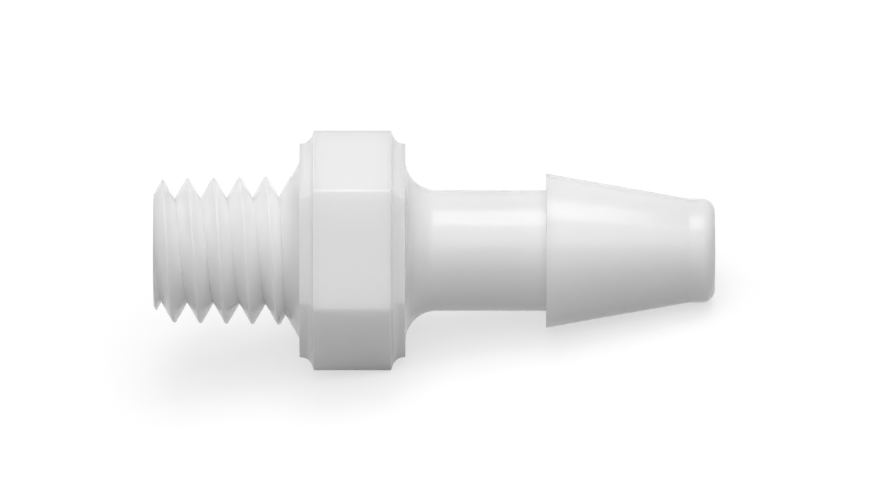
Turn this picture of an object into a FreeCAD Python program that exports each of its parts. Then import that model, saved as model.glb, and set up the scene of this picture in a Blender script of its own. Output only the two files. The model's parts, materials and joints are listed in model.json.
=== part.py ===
import FreeCAD, Part
import math
import os

import Sketcher

# Threaded hose nipple: one plastic moulding.
# The fitting's own axis is X: the thread's end face is at x = 0, the hexagon follows, and the barb's
# tip is at the far end. One flat of the hexagon faces down. The body's Placement then lays the
# fitting as it comes to rest on a level surface, on the end of that flat and the rim of the barb,
# with +Z up. Lengths are in millimetres and angles in degrees.

os.makedirs("parts", exist_ok=True)
doc = FreeCAD.newDocument("threaded_hose_nipple")

# Driving dimensions
sheet = doc.addObject("Spreadsheet::Sheet", "Sizes")
driving_sizes = [
    ("threadLength", 4.44, "end face of the thread to the hexagon"),
    ("threadPitch", 0.79375, "32 threads to the inch"),
    ("crestDiameter", 4.55, "over the crests, where the thread reaches the hexagon"),
    ("threadTaper", 1.15, "half angle of the thread's taper"),
    ("threadDepth", 0.605, "crest to root"),
    ("crestFlat", 0.06, "width of the crest"),
    ("flankAngle", 30, "each flank to a plane across the axis"),
    ("crestToHex", 0.237, "last crest to the hexagon, along the corner at phaseAngle"),
    ("phaseAngle", 60, "from the level corner round to the corner where crestToHex is measured"),
    ("leadInDiameter", 3.42, "end face of the thread"),
    ("leadInAngle", 60, "lead-in cone to the axis"),
    ("collarAngle", 60, "collar cone to the axis"),
    ("collarMargin", 0.15, "flat left round the collar on the hexagon's end"),
    ("hexFlats", 6.35, "across flats"),
    ("hexLength", 3.225, "along the axis"),
    ("hexEdgeRound", 0.06, "radius of the six long edges"),
    ("coveRadius", 0.372, "hollow round across both ends of each flat"),
    ("coveDepth", 0.342, "below the flat"),
    ("coveLand", 0.05, "straight part between the hexagon's end and the hollow round"),
    ("neckDiameter", 3.68, "shank between the hexagon and the barb"),
    ("neckLength", 4.285, "hexagon to the barb's rim"),
    ("neckFillet", 0.95, "hollow round between the hexagon and the shank"),
    ("neckMargin", 0.02, "least flat left round the hollow round on the hexagon's end"),
    ("barbDiameter", 4.70, "over the rim"),
    ("barbLength", 5.14, "rim to tip"),
    ("tipDiameter", 3.164, "straight land behind the tip"),
    ("tipLand", 0.787, "length of the land with its rounded end"),
    ("tipRound", 0.40, "radius of the tip's outer edge"),
    ("boreDiameter", 2.00, "through the whole fitting"),
    ("bite", 0.05, "how far the thread's ridge reaches into its core"),
]
for row, (alias, value, note) in enumerate(driving_sizes, start=1):
    sheet.set(f"A{row}", alias)
    sheet.set(f"B{row}", str(value))
    sheet.set(f"C{row}", note)
    sheet.setAlias(f"B{row}", alias)
doc.recompute()

body = doc.addObject("PartDesign::Body", "HoseNipple")
body.Label = "hose_nipple"
hex_sides = 6
half_corner = 180 / hex_sides

# Stations along the axis and radii that several features share
hex_start = "Sizes.threadLength"
hex_end = "(Sizes.threadLength + Sizes.hexLength)"
rim_at = f"({hex_end} + Sizes.neckLength)"
tip_at = f"({rim_at} + Sizes.barbLength)"
crest_radius = "(Sizes.crestDiameter / 2)"
root_radius = f"({crest_radius} - Sizes.threadDepth)"
neck_radius = "(Sizes.neckDiameter / 2)"
tip_radius = "(Sizes.tipDiameter / 2)"
flat_distance = "(Sizes.hexFlats / 2)"
cove_floor = f"({flat_distance} - Sizes.coveDepth)"
collar_radius = f"({cove_floor} - Sizes.collarMargin)"
neck_fillet = f"min(Sizes.neckFillet; {cove_floor} - {neck_radius} - Sizes.neckMargin)"
beyond_crests = f"({crest_radius} + Sizes.threadDepth)"


def value_of(expression):
    return float(body.evalExpression(expression))


def origin_part(role):
    return next(f for f in body.Origin.OriginFeatures if f.Role == role)


def new_sketch(name, plane_role):
    sketch = body.newObject("Sketcher::SketchObject", name)
    sketch.AttachmentSupport = [(origin_part(plane_role), "")]
    sketch.MapMode = "FlatFace"
    return sketch


def bind(sketch, constraint, name, expression):
    """Add a constraint with a name and tie its value to the sheet."""
    index = sketch.addConstraint(constraint)
    sketch.renameConstraint(index, name)
    sketch.setExpression(f"Constraints.{name}", expression)


def place_point(sketch, geometry, end, name, x, y):
    """Hold a point at the distances x and y from the sketch's origin, given as expressions."""
    for kind, axis, expression in (("DistanceX", -2, x), ("DistanceY", -1, y)):
        distance = value_of(expression)
        if distance == 0:
            sketch.addConstraint(Sketcher.Constraint("PointOnObject", geometry, end, axis))
        elif distance > 0:
            rule = Sketcher.Constraint(kind, -1, 1, geometry, end, distance)
            bind(sketch, rule, name + kind[-1], expression)
        else:
            rule = Sketcher.Constraint(kind, geometry, end, -1, 1, -distance)
            bind(sketch, rule, name + kind[-1], f"-({expression})")


def outline(sketch, corners, arcs=()):
    """Draw a closed outline through named corners (name, x, y).

    Sides are straight, but arcs maps the name of a side's first corner to (radius, centre, turns
    left), for a side that is an arc of a circle.
    """
    arcs = dict(arcs)
    points = [FreeCAD.Vector(value_of(x), value_of(y), 0) for _, x, y in corners]
    ends = []
    for i, (name, _, _) in enumerate(corners):
        start, stop = points[i], points[(i + 1) % len(points)]
        if name not in arcs:
            side = sketch.addGeometry(Part.LineSegment(start, stop))
            ends.append((side, 1, 2))
            continue
        radius, (centre_x, centre_y), turns_left = arcs[name]
        centre = FreeCAD.Vector(value_of(centre_x), value_of(centre_y), 0)
        circle = Part.Circle(centre, FreeCAD.Vector(0, 0, 1), value_of(radius))
        first, last = (start, stop) if turns_left else (stop, start)
        angles = [math.atan2(p.y - centre.y, p.x - centre.x) for p in (first, last)]
        side = sketch.addGeometry(Part.ArcOfCircle(circle, *angles))
        ends.append((side, 1, 2) if turns_left else (side, 2, 1))
        bind(sketch, Sketcher.Constraint("Radius", side, circle.Radius), name + "Arc", radius)
    for i, (name, x, y) in enumerate(corners):
        side, start, _ = ends[i]
        before, _, stop = ends[i - 1]
        sketch.addConstraint(Sketcher.Constraint("Coincident", before, stop, side, start))
        place_point(sketch, side, start, name, x, y)


def check_all():
    for item in doc.Objects:
        if "Invalid" in item.State or "Error" in item.State:
            raise RuntimeError(f"{item.Name} failed: {item.State}")


def finish_feature(feature):
    """Recompute, make sure that the feature worked and print what volume it leaves."""
    body.Tip = feature
    doc.recompute()
    check_all()
    if feature.Shape.isNull() or not feature.Shape.isValid() or len(feature.Shape.Solids) != 1:
        raise RuntimeError(f"{feature.Name} isn't one valid solid")
    print(f"{feature.Name}: {feature.Shape.Volume:.3f} mm3, {len(feature.Shape.Faces)} faces")


# Hexagon: a prism across the axis, with two corners level and a flat up and down
hex_sketch = new_sketch("HexSection", "YZ_Plane")
hex_sketch.setExpression("AttachmentOffset.Base.z", hex_start)
corner_circle = f"Sizes.hexFlats / cos({half_corner})"
circle = Part.Circle(FreeCAD.Vector(), FreeCAD.Vector(0, 0, 1), value_of(corner_circle) / 2)
guide = hex_sketch.addGeometry(circle, True)
hex_sketch.addConstraint(Sketcher.Constraint("Coincident", guide, 3, -1, 1))
rule = Sketcher.Constraint("Diameter", guide, 2 * circle.Radius)
bind(hex_sketch, rule, "acrossCorners", corner_circle)
turns = [math.radians(2 * half_corner * i) for i in range(hex_sides + 1)]
corners = [FreeCAD.Vector(math.cos(t), math.sin(t), 0) * circle.Radius for t in turns]
flats = [hex_sketch.addGeometry(Part.LineSegment(a, b)) for a, b in zip(corners, corners[1:])]
for i, flat in enumerate(flats):
    hex_sketch.addConstraint(Sketcher.Constraint("Coincident", flats[i - 1], 2, flat, 1))
    hex_sketch.addConstraint(Sketcher.Constraint("PointOnObject", flat, 1, guide))
    if i > 0:
        hex_sketch.addConstraint(Sketcher.Constraint("Equal", flats[0], flat))
hex_sketch.addConstraint(Sketcher.Constraint("PointOnObject", flats[0], 1, -1))
hexagon = body.newObject("PartDesign::Pad", "Hexagon")
hexagon.Profile = hex_sketch
hexagon.setExpression("Length", "Sizes.hexLength")
finish_feature(hexagon)

# The six long edges are slightly rounded
long_edges = [
    f"Edge{i}"
    for i, edge in enumerate(hexagon.Shape.Edges, start=1)
    if abs(edge.Vertexes[0].X - edge.Vertexes[-1].X) > value_of("Sizes.hexLength") / 2
]
edge_rounds = body.newObject("PartDesign::Fillet", "HexEdges")
edge_rounds.Base = (hexagon, long_edges)
edge_rounds.setExpression("Radius", "Sizes.hexEdgeRound")
finish_feature(edge_rounds)

# Coves: a hollow round across each end of a flat, cut straight across it so that neighbours meet in
# a mitre, then repeated on the other five flats
cove_sketch = new_sketch("CoveSection", "XZ_Plane")
arc_height = f"{cove_floor} + Sizes.coveRadius"
above_flat = f"{flat_distance} + Sizes.coveRadius"
for end, station, inward, outward in (("first", hex_start, "+", "-"), ("last", hex_end, "-", "+")):
    off_the_end = f"{station} {outward} Sizes.coveRadius"
    arc_middle = f"{station} {inward} Sizes.coveLand"
    arc_end = f"{arc_middle} {inward} Sizes.coveRadius"
    outline(cove_sketch, [
        (end + "Floor", off_the_end, cove_floor),
        (end + "Land", arc_middle, cove_floor),
        (end + "Wall", arc_end, arc_height),
        (end + "Top", arc_end, above_flat),
        (end + "Clear", off_the_end, above_flat),
    ], {end + "Land": ("Sizes.coveRadius", (arc_middle, arc_height), inward == "+")})
coves = body.newObject("PartDesign::Pocket", "Coves")
coves.Profile = cove_sketch
coves.SideType = "Symmetric"
coves.setExpression("Length", "2 * Sizes.hexFlats")
finish_feature(coves)
all_coves = body.newObject("PartDesign::PolarPattern", "CovesAllRound")
all_coves.Originals = [coves]
all_coves.Axis = (origin_part("X_Axis"), [""])
all_coves.Angle = 360
all_coves.Occurrences = hex_sides
finish_feature(all_coves)

# Core under the thread and the collar cone that carries it into the hexagon
closing = "(tan(Sizes.collarAngle) - tan(Sizes.threadTaper))"
collar_reach = f"(({collar_radius} - {root_radius}) / {closing})"
foot_radius = f"{root_radius} - {collar_reach} * tan(Sizes.threadTaper)"
end_radius = f"{root_radius} - Sizes.threadLength * tan(Sizes.threadTaper)"
core_sketch = new_sketch("CoreSection", "XY_Plane")
outline(core_sketch, [
    ("axisEnd", hex_start, "0"),
    ("collarEdge", hex_start, collar_radius),
    ("collarFoot", f"{hex_start} - {collar_reach}", foot_radius),
    ("coreEdge", "0", end_radius),
    ("axisStart", "0", "0"),
])
core = body.newObject("PartDesign::Revolution", "CoreAndCollar")
core.Profile = core_sketch
core.ReferenceAxis = (origin_part("X_Axis"), [""])
core.Angle = 360
finish_feature(core)

# Shank with its hollow round at the hexagon, and the barb with its rounded tip
fillet_end = f"{hex_end} + {neck_fillet}"
fillet_top = f"{neck_radius} + {neck_fillet}"
land_end = f"{tip_at} - Sizes.tipRound"
tip_edge = f"{tip_radius} - Sizes.tipRound"
barb_sketch = new_sketch("BarbSection", "XY_Plane")
outline(barb_sketch, [
    ("axisStart", hex_end, "0"),
    ("filletEdge", hex_end, fillet_top),
    ("shankStart", fillet_end, neck_radius),
    ("shankEnd", rim_at, neck_radius),
    ("rim", rim_at, "Sizes.barbDiameter / 2"),
    ("landStart", f"{tip_at} - Sizes.tipLand", tip_radius),
    ("landEnd", land_end, tip_radius),
    ("tipEdge", tip_at, tip_edge),
    ("axisEnd", tip_at, "0"),
], {
    "filletEdge": (neck_fillet, (fillet_end, fillet_top), True),
    "landEnd": ("Sizes.tipRound", (land_end, tip_edge), False),
})
barb = body.newObject("PartDesign::Revolution", "ShankAndBarb")
barb.Profile = barb_sketch
barb.ReferenceAxis = (origin_part("X_Axis"), [""])
barb.Angle = 360
finish_feature(barb)

# Thread: a right-hand ridge of V section, wound on the tapered core and running out into the collar.
# It starts before the end face, with its whole section, and ends half a turn into the hexagon.
half_crest = "(Sizes.crestFlat / 2)"
half_root = f"({half_crest} + Sizes.threadDepth * tan(Sizes.flankAngle))"
last_crest = f"({hex_start} - Sizes.crestToHex - Sizes.threadPitch * Sizes.phaseAngle / 360)"
turn_count = f"ceil(({last_crest} + {half_root}) / Sizes.threadPitch)"
start_at = f"({last_crest} - {turn_count} * Sizes.threadPitch)"
start_crest = f"({crest_radius} - ({hex_start} - {start_at}) * tan(Sizes.threadTaper))"
start_root = f"({start_crest} - Sizes.threadDepth)"
ridge_sketch = new_sketch("ThreadSection", "XY_Plane")
outline(ridge_sketch, [
    ("nearCrest", f"{start_at} - {half_crest}", start_crest),
    ("nearRoot", f"{start_at} - {half_root}", start_root),
    ("nearFoot", f"{start_at} - {half_root}", f"{start_root} - Sizes.bite"),
    ("farFoot", f"{start_at} + {half_root}", f"{start_root} - Sizes.bite"),
    ("farRoot", f"{start_at} + {half_root}", start_root),
    ("farCrest", f"{start_at} + {half_crest}", start_crest),
])
# The ridge follows a helix made of single turns, which keeps each of its faces short
path = doc.addObject("Part::Helix", "ThreadPath")
path.setExpression("Pitch", "Sizes.threadPitch")
path.setExpression("Height", f"{hex_start} + Sizes.threadPitch / 2 - {start_at}")
path.setExpression("Radius", start_root)
path.setExpression("Angle", "Sizes.threadTaper")
path.SegmentLength = 1
along_x = FreeCAD.Rotation(FreeCAD.Vector(1, 1, 1), 120)
path.Placement = FreeCAD.Placement(FreeCAD.Vector(), along_x)
path.setExpression("Placement.Base.x", start_at)
doc.recompute()
check_all()
ridge = body.newObject("PartDesign::AdditivePipe", "Thread")
ridge.Profile = ridge_sketch
ridge.Spine = (path, [f"Edge{i}" for i in range(1, len(path.Shape.Edges) + 1)])
ridge.Mode = "Frenet"
finish_feature(ridge)

# Lead-in: everything before the end face is taken off, and the first turn is coned down
before_ridge = f"{start_at} - Sizes.threadPitch"
face_radius = "(Sizes.leadInDiameter / 2)"
cone_reach = f"({beyond_crests} - {face_radius}) / tan(Sizes.leadInAngle)"
lead_in_sketch = new_sketch("LeadInSection", "XY_Plane")
outline(lead_in_sketch, [
    ("axisFar", before_ridge, "0"),
    ("axisNear", "0", "0"),
    ("faceEdge", "0", face_radius),
    ("coneEdge", cone_reach, beyond_crests),
    ("outer", before_ridge, beyond_crests),
])
lead_in = body.newObject("PartDesign::Groove", "LeadIn")
lead_in.Profile = lead_in_sketch
lead_in.ReferenceAxis = (origin_part("X_Axis"), [""])
lead_in.Angle = 360
finish_feature(lead_in)

# Bore: straight through from end to end
bore_sketch = new_sketch("BoreSection", "YZ_Plane")
circle = Part.Circle(FreeCAD.Vector(), FreeCAD.Vector(0, 0, 1), value_of("Sizes.boreDiameter") / 2)
wall = bore_sketch.addGeometry(circle)
bore_sketch.addConstraint(Sketcher.Constraint("Coincident", wall, 3, -1, 1))
rule = Sketcher.Constraint("Diameter", wall, 2 * circle.Radius)
bind(bore_sketch, rule, "boreDiameter", "Sizes.boreDiameter")
bore = body.newObject("PartDesign::Pocket", "Bore")
bore.Profile = bore_sketch
bore.SideType = "Symmetric"
bore.Type = "ThroughAll"
finish_feature(bore)

# Rest: the fitting tips about the end of the lower flat until the barb's rim touches the surface
cove_width = "sqrt(Sizes.coveDepth * (2 * Sizes.coveRadius - Sizes.coveDepth))"
flat_to_rim = f"(Sizes.neckLength + Sizes.coveLand + {cove_width})"
tilt = value_of(f"atan(({flat_distance} - Sizes.barbDiameter / 2) / {flat_to_rim})")
body.Placement = FreeCAD.Placement(FreeCAD.Vector(), FreeCAD.Rotation(FreeCAD.Vector(0, 1, 0), tilt))
doc.recompute()
box = body.Shape.optimalBoundingBox(False, False)
middle = FreeCAD.Vector(box.Center.x, box.Center.y, box.ZMin)
body.Placement = FreeCAD.Placement(-middle, body.Placement.Rotation)
doc.recompute()
check_all()
if body.Shape.isNull() or not body.Shape.isValid() or len(body.Shape.Solids) != 1:
    raise RuntimeError(f"{body.Label} isn't one valid solid")
print(f"tilt {tilt:.3f} deg, placed at {body.Placement.Base}")
print(f"centre of mass {body.Shape.CenterOfGravity}")
print(f"box {body.Shape.optimalBoundingBox(False, False)}")
body.Shape.exportStep(f"parts/{body.Label}.step")
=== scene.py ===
import json
import math

import bpy
from mathutils import Matrix, Vector


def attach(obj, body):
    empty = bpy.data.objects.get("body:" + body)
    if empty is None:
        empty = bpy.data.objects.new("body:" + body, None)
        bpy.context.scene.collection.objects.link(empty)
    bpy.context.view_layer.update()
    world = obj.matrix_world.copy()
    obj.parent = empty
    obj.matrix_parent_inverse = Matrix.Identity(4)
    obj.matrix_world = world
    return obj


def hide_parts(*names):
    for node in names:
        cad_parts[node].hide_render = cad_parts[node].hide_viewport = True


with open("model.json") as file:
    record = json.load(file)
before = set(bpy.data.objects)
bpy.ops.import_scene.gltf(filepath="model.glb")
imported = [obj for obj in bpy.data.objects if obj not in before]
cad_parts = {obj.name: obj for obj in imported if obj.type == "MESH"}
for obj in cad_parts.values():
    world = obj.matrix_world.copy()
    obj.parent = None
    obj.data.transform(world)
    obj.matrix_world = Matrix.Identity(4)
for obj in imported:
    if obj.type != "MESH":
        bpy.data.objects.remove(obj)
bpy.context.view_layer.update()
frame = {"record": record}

# The fitting is modelled along X at 1 unit = 1 mm, thread end at x = 0 and a flat underneath, because
# Blender's tools are too coarse for a part this small in metres. layInPlace brings it to the frame.
mm = 0.001
facets = 144            # round every turned surface and every turn of the thread
faceX = (0, math.radians(90), 0)
closeTo = 0.0005        # mm, for picking edges and welding points
smoothUpTo = 32         # degrees between faces, past which an edge looks sharp

mounts = {mount["name"]: mount for mount in frame["record"]["mounts"]}
threadEnd = Vector(mounts["male_thread"]["pos_m"])      # middle of the thread's end face
axis = Vector(mounts["bore"]["axis"])                   # from there to the barb's tip
upright = Vector((-axis.z, 0, axis.x))                  # square to the axis, away from the flat below

# lengths in mm, angles in degrees, stations along X from the thread's end face
fitting = {"hexStart": 4.44, "hexEnd": 7.665, "tipAt": 17.09}


def deselectAll():
    if bpy.context.object and bpy.context.object.mode == "EDIT":
        bpy.ops.object.mode_set(mode="OBJECT")
    bpy.ops.object.select_all(action="DESELECT")


def pickOnly(piece):
    deselectAll()
    piece.select_set(True)
    bpy.context.view_layer.objects.active = piece


def placedAt(location, xAxis, yAxis, zAxis):
    # the matrix that puts something there, turned to these axes
    return Matrix.Translation(location) @ Matrix((xAxis, yAxis, zAxis)).transposed().to_4x4()


def editNew(name):
    # the primitive just added, named and open in edit mode with all of it selected
    piece = bpy.context.object
    piece.name = name
    bpy.ops.object.mode_set(mode="EDIT")
    bpy.ops.mesh.select_all(action="SELECT")
    return piece


def finishEdit(piece):
    # welded, normals outwards, place in the mesh
    bpy.ops.mesh.select_all(action="SELECT")
    bpy.ops.mesh.remove_doubles(threshold=closeTo)
    bpy.ops.mesh.normals_make_consistent(inside=False)
    bpy.ops.object.mode_set(mode="OBJECT")
    bpy.ops.object.transform_apply(location=True, rotation=True, scale=True)
    return piece


def arc(x, height, radius, start, end, steps=12):
    # points on an arc about (x, height), angles in degrees from +X towards +height
    turns = [math.radians(start + (end - start) * step / steps) for step in range(steps + 1)]
    return [(x + radius * math.cos(a), height + radius * math.sin(a)) for a in turns]


def pullThrough(rings):
    # the selected face is pulled along X through the rings (x, size), each a scaled copy of the last
    for (x, size), (nextX, nextSize) in zip(rings, rings[1:]):
        bpy.ops.mesh.extrude_region_move(TRANSFORM_OT_translate={"value": (nextX - x, 0, 0)})
        grow = nextSize / size
        bpy.ops.transform.resize(value=(1, grow, grow), center_override=(nextX, 0, 0))


def turn(name, rings):
    # a turned solid through the rings (x, radius)
    deselectAll()
    x, radius = rings[0]
    bpy.ops.mesh.primitive_circle_add(vertices=facets, radius=radius, fill_type="NGON",
                                      location=(x, 0, 0), rotation=faceX)
    piece = editNew(name)
    pullThrough(rings)
    return finishEdit(piece)


def ringAt(piece, x, beyond=0, within=math.inf):
    # the vertices at the station x, between these two distances from the axis
    return {v.index for v in piece.data.vertices
            if abs(v.co.x - x) < closeTo and beyond < math.hypot(v.co.y, v.co.z) < within}


def roundEdges(piece, x, size, segments=3, beyond=0):
    # bevels the edges at the station x that lie further than beyond from the axis
    pickOnly(piece)
    ring = ringAt(piece, x, beyond)
    bpy.ops.object.mode_set(mode="EDIT")
    bpy.ops.mesh.select_all(action="DESELECT")
    bpy.ops.object.mode_set(mode="OBJECT")
    for edge in piece.data.edges:
        edge.select = set(edge.vertices) <= ring
    bpy.ops.object.mode_set(mode="EDIT")
    bpy.ops.mesh.bevel(offset=size, offset_type="OFFSET", segments=segments, affect="EDGES")
    bpy.ops.object.mode_set(mode="OBJECT")


def combine(piece, other, operation):
    pickOnly(piece)
    tool = piece.modifiers.new("combine", "BOOLEAN")
    tool.operation, tool.solver, tool.object = operation, "EXACT", other
    bpy.ops.object.modifier_apply(modifier=tool.name)
    bpy.data.objects.remove(other)


hexagonSizes = {
    "flats": 6.35, "edgeRound": 0.10, "endRound": 0.02, "coveEdgeRound": 0.045,
    "coveRadius": 0.372, "coveDepth": 0.342, "coveLand": 0.05,      # hollow round across a flat's ends
}


def makeHexagon():
    s = hexagonSizes
    floor = s["flats"] / 2 - s["coveDepth"]
    climb = 90 - math.degrees(math.acos(1 - s["coveDepth"] / s["coveRadius"]))
    near, far = fitting["hexStart"] + s["coveLand"], fitting["hexEnd"] - s["coveLand"]
    nearCove = arc(near, floor + s["coveRadius"], s["coveRadius"], -90, -climb)
    farCove = arc(far, floor + s["coveRadius"], s["coveRadius"], climb - 180, -90)
    stations = [(fitting["hexStart"], floor)] + nearCove + farCove + [(fitting["hexEnd"], floor)]
    halfSide = math.radians(30)             # half of a flat's turn about the axis
    toCorner = 1 / math.cos(halfSide)       # a corner lies that much further out than a flat
    rings = [(x, flat * toCorner) for x, flat in stations]
    deselectAll()
    bpy.ops.mesh.primitive_circle_add(vertices=6, radius=rings[0][1], fill_type="NGON",
                                      location=(rings[0][0], 0, 0), rotation=faceX)
    piece = editNew("hexagon")
    bpy.ops.mesh.bevel(offset=s["edgeRound"] * math.tan(halfSide), offset_type="OFFSET",
                       segments=4, affect="VERTICES")
    bpy.ops.mesh.select_all(action="SELECT")
    pullThrough(rings)
    finishEdit(piece)
    for x in (fitting["hexStart"], fitting["hexEnd"]):
        roundEdges(piece, x, s["endRound"])
    for x in (nearCove[-1][0], farCove[0][0]):
        roundEdges(piece, x, s["coveEdgeRound"], segments=4)
    return piece


turnedSizes = {
    "collarRadius": 2.683, "collarAngle": 60, "collarDepth": 0.84,
    "neckRadius": 1.84, "neckFillet": 0.95,
    "rimAt": 11.95, "rimRadius": 2.35, "rimRound": 0.01,
    "landAt": 16.303, "tipRadius": 1.582, "tipRound": 0.40,
    "inHexagon": 1,         # how far the collar and the neck reach into the hexagon
}


def makeTurnedBody():
    s = turnedSizes
    hexStart, hexEnd, tipAt = fitting["hexStart"], fitting["hexEnd"], fitting["tipAt"]
    neck, fillet, tip, tipRound = s["neckRadius"], s["neckFillet"], s["tipRadius"], s["tipRound"]
    collarFoot = s["collarRadius"] - s["collarDepth"] * math.tan(math.radians(s["collarAngle"]))
    rings = [(hexStart - s["collarDepth"], collarFoot), (hexStart, s["collarRadius"]),
             (hexStart + s["inHexagon"], s["collarRadius"]), (hexEnd - s["inHexagon"], neck + fillet)]
    rings += arc(hexEnd + fillet, neck + fillet, fillet, 180, 270, steps=20)
    rings += [(s["rimAt"], neck), (s["rimAt"], s["rimRadius"]), (s["landAt"], tip)]
    rings += arc(tipAt - tipRound, tip - tipRound, tipRound, 90, 0)
    piece = turn("hose_nipple", rings)
    roundEdges(piece, s["rimAt"], s["rimRound"], beyond=neck + closeTo)
    return piece


threadSizes = {
    "pitch": 0.79375, "crestRadius": 2.275, "taper": 1.15,
    "crestRound": 0.052, "flankAngle": 30,
    "crestToHex": 0.237, "phase": 60,       # the last crest is that far from the hexagon, at that turn
    "faceRadius": 1.71, "leadInAngle": 60,
    "turnsInHexagon": 2,    # spare turns past the last crest, cut off where they don't show
}


def makeThread():
    s = threadSizes
    pitch, crest, crestRound, flank = s["pitch"], s["crestRadius"], s["crestRound"], s["flankAngle"]
    halfCrest = crestRound * math.tan(math.radians(45 - flank / 2))     # to where a flank meets the top
    root = crest - (pitch / 2 - halfCrest) / math.tan(math.radians(flank))
    lastCrest = fitting["hexStart"] - s["crestToHex"] - pitch * s["phase"] / 360
    turnsBefore = math.ceil((lastCrest + pitch / 2) / pitch)
    start = lastCrest - turnsBefore * pitch
    profile = [(-pitch / 2, root)]
    profile += arc(0, crest - crestRound, crestRound, 180 - flank, flank, steps=6)
    profile += [(pitch / 2, root)]
    deselectAll()
    bpy.ops.mesh.primitive_plane_add(size=pitch, location=(start + profile[0][0], root, 0))
    piece = editNew("thread")
    bpy.ops.mesh.merge(type="CENTER")
    for (x, height), (nextX, nextHeight) in zip(profile, profile[1:]):
        step = (nextX - x, nextHeight - height, 0)
        bpy.ops.mesh.extrude_vertices_move(TRANSFORM_OT_translate={"value": step})
    finishEdit(piece)

    # one turn after another, welded where they meet
    turns = piece.modifiers.new("turns", "SCREW")
    turns.axis, turns.angle, turns.screw_offset = "X", math.radians(360), pitch
    turns.steps = turns.render_steps = facets
    turns.iterations = turnsBefore + s["turnsInHexagon"]
    turns.use_merge_vertices, turns.merge_threshold = True, closeTo
    bpy.ops.object.modifier_apply(modifier=turns.name)

    # leans in towards the end face
    slope = math.tan(math.radians(s["taper"]))
    for vertex in piece.data.vertices:
        outward = Vector((0, vertex.co.y, vertex.co.z)).normalized()
        vertex.co -= outward * (fitting["hexStart"] - vertex.co.x) * slope

    # cut off square before the end face and inside the hexagon, and closed
    bpy.ops.object.mode_set(mode="EDIT")
    for x, keepAbove in ((start + pitch / 2 + closeTo, True), (fitting["hexStart"] + pitch / 2, False)):
        bpy.ops.mesh.select_all(action="SELECT")
        bpy.ops.mesh.bisect(plane_co=(x, 0, 0), plane_no=(1, 0, 0), use_fill=True, threshold=closeTo,
                            clear_inner=keepAbove, clear_outer=not keepAbove)
    finishEdit(piece)

    # the end face and the cone that leads the first turn in
    wide = 2 * crest - root
    leadIn = (wide - s["faceRadius"]) / math.tan(math.radians(s["leadInAngle"]))
    blank = turn("blank", [(0, s["faceRadius"]), (leadIn, wide), (fitting["hexEnd"], wide)])
    combine(piece, blank, "INTERSECT")
    return piece


boreSizes = {"radius": 1.0, "mouth": 0.04, "past": 0.5}     # past the end faces, for a clean cut


def makeBoreCutter():
    radius, mouth, past = boreSizes["radius"], boreSizes["mouth"], boreSizes["past"]
    tipAt = fitting["tipAt"]
    return turn("bore", [(-past, radius + mouth + past), (mouth, radius),
                         (tipAt - mouth, radius), (tipAt + past, radius + mouth + past)])


def keepCrease(piece, x, reach):
    # the edges at the station x, as far from the axis as reach, look sharp though they turn little
    ring = ringAt(piece, x, within=reach + closeTo)
    for edge in piece.data.edges:
        edge.use_edge_sharp = edge.use_edge_sharp or set(edge.vertices) <= ring


def layInPlace(piece):
    # to metres, then tilted and moved as the frame's mounts say
    pickOnly(piece)
    piece.matrix_world = placedAt(threadEnd, axis, (0, 1, 0), upright) @ Matrix.Scale(mm, 4)
    bpy.ops.object.transform_apply(location=True, rotation=True, scale=True)


def makeNipple():
    piece = makeTurnedBody()
    combine(piece, makeHexagon(), "UNION")
    combine(piece, makeThread(), "UNION")
    combine(piece, makeBoreCutter(), "DIFFERENCE")
    bpy.ops.object.mode_set(mode="EDIT")
    finishEdit(piece)
    keepCrease(piece, 0, threadSizes["faceRadius"])
    keepCrease(piece, fitting["hexStart"], turnedSizes["collarRadius"])
    keepCrease(piece, turnedSizes["landAt"], turnedSizes["tipRadius"])
    layInPlace(piece)
    bpy.ops.object.shade_smooth_by_angle(angle=math.radians(smoothUpTo))
    weigh = piece.modifiers.new("weigh", "WEIGHTED_NORMAL")
    weigh.keep_sharp = True
    bpy.ops.object.modifier_apply(modifier=weigh.name)
    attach(piece, "root")
    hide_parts("hose_nipple")
    print("fitting:", len(piece.data.polygons), "faces")
    return piece


nipple = makeNipple()


def linear(hexColour):
    # an sRGB hex colour as the shader wants it
    parts = [int(hexColour[i:i + 2], 16) / 255 for i in (1, 3, 5)]
    return [p / 12.92 if p <= 0.04045 else ((p + 0.055) / 1.055) ** 2.4 for p in parts] + [1]


def addNode(tree, kind, inputs, **settings):
    # inputs maps a socket to its value, or to the output that feeds it
    node = tree.nodes.new("ShaderNode" + kind)
    for name, value in settings.items():
        setattr(node, name, value)
    for name, value in inputs.items():
        if isinstance(value, bpy.types.NodeSocket):
            tree.links.new(value, node.inputs[name])
        else:
            node.inputs[name].default_value = value
    return node


def newMaterial(name):
    material = bpy.data.materials.new(name)
    material.use_nodes = True
    material.node_tree.nodes.clear()
    return material, material.node_tree


nylonLook = {
    "colour": "#fbfbfb", "shade": "#f8f8f8", "roughness": (0.18, 0.22), "ior": 1.53,
    "flow": 2.5,            # mm, how wide the soft patches of the surface are
    "texture": 0.06,        # mm, grain of the mould's polish
    "textureDepth": 0.0008,     # mm, from the grain's valleys to its tops
    "glow": 1.2,            # mm, how far light spreads under the surface
}


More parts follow.
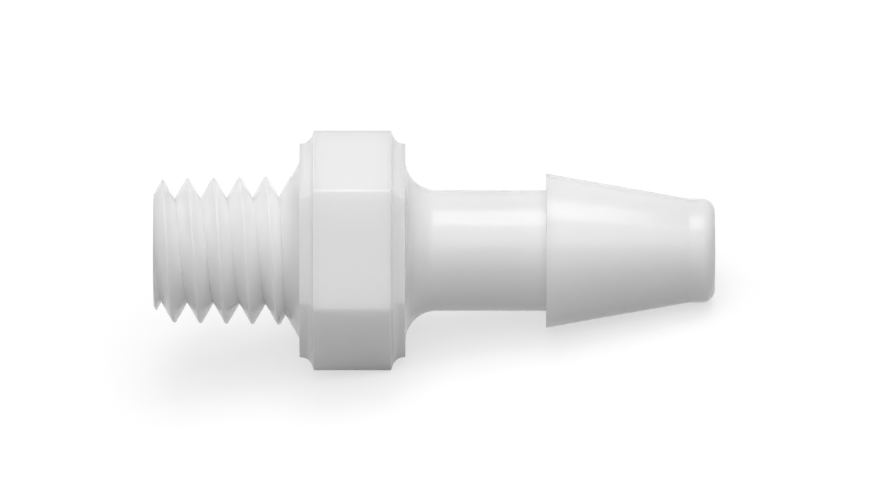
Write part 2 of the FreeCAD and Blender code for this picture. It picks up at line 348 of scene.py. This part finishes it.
def mouldedNylon():
    # white nylon, injection moulded in a polished steel tool: satin, even, with soft broad highlights
    look = nylonLook
    material, tree = newMaterial("moulded_nylon")
    place = addNode(tree, "TexCoord", {}).outputs["Object"]
    flow = addNode(tree, "TexNoise", {"Vector": place, "Scale": 1 / (look["flow"] * mm), "Detail": 3})
    colour = addNode(tree, "MixRGB", {"Fac": flow.outputs["Fac"], "Color1": linear(look["shade"]),
                                      "Color2": linear(look["colour"])})
    low, high = look["roughness"]
    rough = addNode(tree, "MapRange", {"Value": flow.outputs["Fac"], "To Min": low, "To Max": high})
    grain = addNode(tree, "TexNoise", {"Vector": place, "Scale": 1 / (look["texture"] * mm), "Detail": 2})
    bump = addNode(tree, "Bump", {"Height": grain.outputs["Fac"], "Strength": 1,
                                  "Distance": look["textureDepth"] * mm})
    shader = addNode(tree, "BsdfPrincipled", {
        "Base Color": colour.outputs["Color"], "Roughness": rough.outputs["Result"],
        "IOR": look["ior"], "Normal": bump.outputs["Normal"],
        "Subsurface Weight": 1, "Subsurface Radius": (1, 1, 1), "Subsurface Scale": look["glow"] * mm,
    })
    addNode(tree, "OutputMaterial", {"Surface": shader.outputs["BSDF"]})
    return material


stageLook = {
    "floor": "#b4b4b4", "topUp": 0.62, "floorSize": 2000,
    "whiteFrom": 15, "whiteAt": 45,     # mm from the middle, where the floor turns to plain white
    "ambient": 0,           # the world's own light, apart from the white that is seen
    "lamps": {      # degrees from upright to the back and from there to the barb, then mm and watts
        "key": {"tilt": 5.5, "side": 0, "distance": 400, "size": (190, 215), "power": 0.355},
        "top": {"tilt": 0, "side": 0, "distance": 400, "size": (900, 600), "power": 0.42},
        "front": {"tilt": -28, "side": 0, "distance": 400, "size": (400, 400), "power": 0.72},
        "fill": {"tilt": -62, "side": 0, "distance": 400, "size": (400, 400), "power": 0.22},
        "left": {"tilt": 0, "side": -60, "distance": 400, "size": (600, 600), "power": 0.16},
        "backLeft": {"tilt": 45, "side": -50, "distance": 400, "size": (800, 700), "power": 0.58},
        "backRight": {"tilt": 45, "side": 45, "distance": 400, "size": (800, 700), "power": 0.53},
    },
}


plainWhite = {"Color": (1, 1, 1, 1), "Strength": 1}


def seenAsBackdrop(tree):
    # 1 for rays that should meet plain white: the camera's, reflections and what passes through
    rays = addNode(tree, "LightPath", {}).outputs
    either = addNode(tree, "Math", {0: rays["Is Camera Ray"], 1: rays["Is Glossy Ray"]},
                     operation="MAXIMUM")
    return addNode(tree, "Math", {0: either.outputs[0], 1: rays["Is Transmission Ray"]},
                   operation="MAXIMUM").outputs[0]


def paleFloor():
    # matt paper sweep: the light on it is topped up to white where it is seen, so its shadow stays
    material, tree = newMaterial("matt_paper")
    paper = addNode(tree, "BsdfDiffuse", {"Color": linear(stageLook["floor"])})
    topUp = addNode(tree, "Emission", {**plainWhite, "Strength": stageLook["topUp"]})
    lit = addNode(tree, "AddShader", {0: paper.outputs[0], 1: topUp.outputs[0]})
    place = addNode(tree, "TexCoord", {}).outputs["Object"]
    away = addNode(tree, "VectorMath", {0: place}, operation="LENGTH").outputs["Value"]
    fade = addNode(tree, "MapRange", {"Value": away, "From Min": stageLook["whiteFrom"] * mm,
                                      "From Max": stageLook["whiteAt"] * mm},
                   interpolation_type="SMOOTHSTEP").outputs["Result"]
    white = addNode(tree, "Emission", plainWhite)
    backdrop = addNode(tree, "MixShader", {0: fade, 1: lit.outputs[0], 2: white.outputs[0]})
    seen = addNode(tree, "MixShader", {0: seenAsBackdrop(tree), 1: paper.outputs[0],
                                       2: backdrop.outputs[0]})
    addNode(tree, "OutputMaterial", {"Surface": seen.outputs[0]})
    return material


def makeStage():
    deselectAll()
    bpy.ops.mesh.primitive_plane_add(size=stageLook["floorSize"] * mm)
    floor = bpy.context.object
    floor.name = "floor"
    floor.data.materials.append(paleFloor())

    world = bpy.data.worlds.new("studio")
    bpy.context.scene.world = world
    world.use_nodes = True
    tree = world.node_tree
    tree.nodes.clear()
    soft = addNode(tree, "Background", {**plainWhite, "Strength": stageLook["ambient"]})
    white = addNode(tree, "Background", plainWhite)
    both = addNode(tree, "MixShader", {0: seenAsBackdrop(tree), 1: soft.outputs[0],
                                       2: white.outputs[0]})
    addNode(tree, "OutputWorld", {"Surface": both.outputs[0]})

    for name, look in stageLook["lamps"].items():
        tilt = math.radians(look["tilt"])
        side = math.radians(look["side"])
        squareOn = upright * math.cos(tilt) + Vector((0, math.sin(tilt), 0))
        toLamp = squareOn * math.cos(side) + axis * math.sin(side)
        along = axis * math.cos(side) - squareOn * math.sin(side)
        deselectAll()
        bpy.ops.object.light_add(type="AREA", location=middle + toLamp * look["distance"] * mm)
        lamp = bpy.context.object
        lamp.name = name
        lamp.matrix_world = placedAt(lamp.location, along, toLamp.cross(along), toLamp)
        lamp.data.shape = "RECTANGLE"
        lamp.data.size, lamp.data.size_y = (edge * mm for edge in look["size"])
        lamp.data.energy = look["power"]
    print("stage: floor, world and", len(stageLook["lamps"]), "lamps")


cameraView = {
    "elevation": 30,        # degrees above the axis, square to one of the hexagon's flats
    "distance": 600, "width": 26.50,        # mm, of the picture across the fitting
    "lookAt": 8.567,        # mm along the axis
    "sensor": 36, "clip": (10, 10000),      # mm
}


def makeCamera():
    turnedUp = math.radians(cameraView["elevation"])
    toCamera = upright * math.sin(turnedUp) - Vector((0, math.cos(turnedUp), 0))
    pictureUp = upright * math.cos(turnedUp) + Vector((0, math.sin(turnedUp), 0))
    deselectAll()
    bpy.ops.object.camera_add(location=middle + toCamera * cameraView["distance"] * mm)
    camera = bpy.context.object
    camera.matrix_world = placedAt(camera.location, axis, pictureUp, toCamera)
    camera.data.sensor_width = cameraView["sensor"]
    camera.data.lens = camera.data.sensor_width * cameraView["distance"] / cameraView["width"]
    camera.data.clip_start, camera.data.clip_end = (away * mm for away in cameraView["clip"])
    bpy.context.scene.camera = camera
    print("camera: lens", round(camera.data.lens, 1), "mm")


middle = threadEnd + axis * cameraView["lookAt"] * mm
nipple.data.materials.append(mouldedNylon())
makeStage()
makeCamera()
bpy.context.scene.view_settings.view_transform = "Standard"
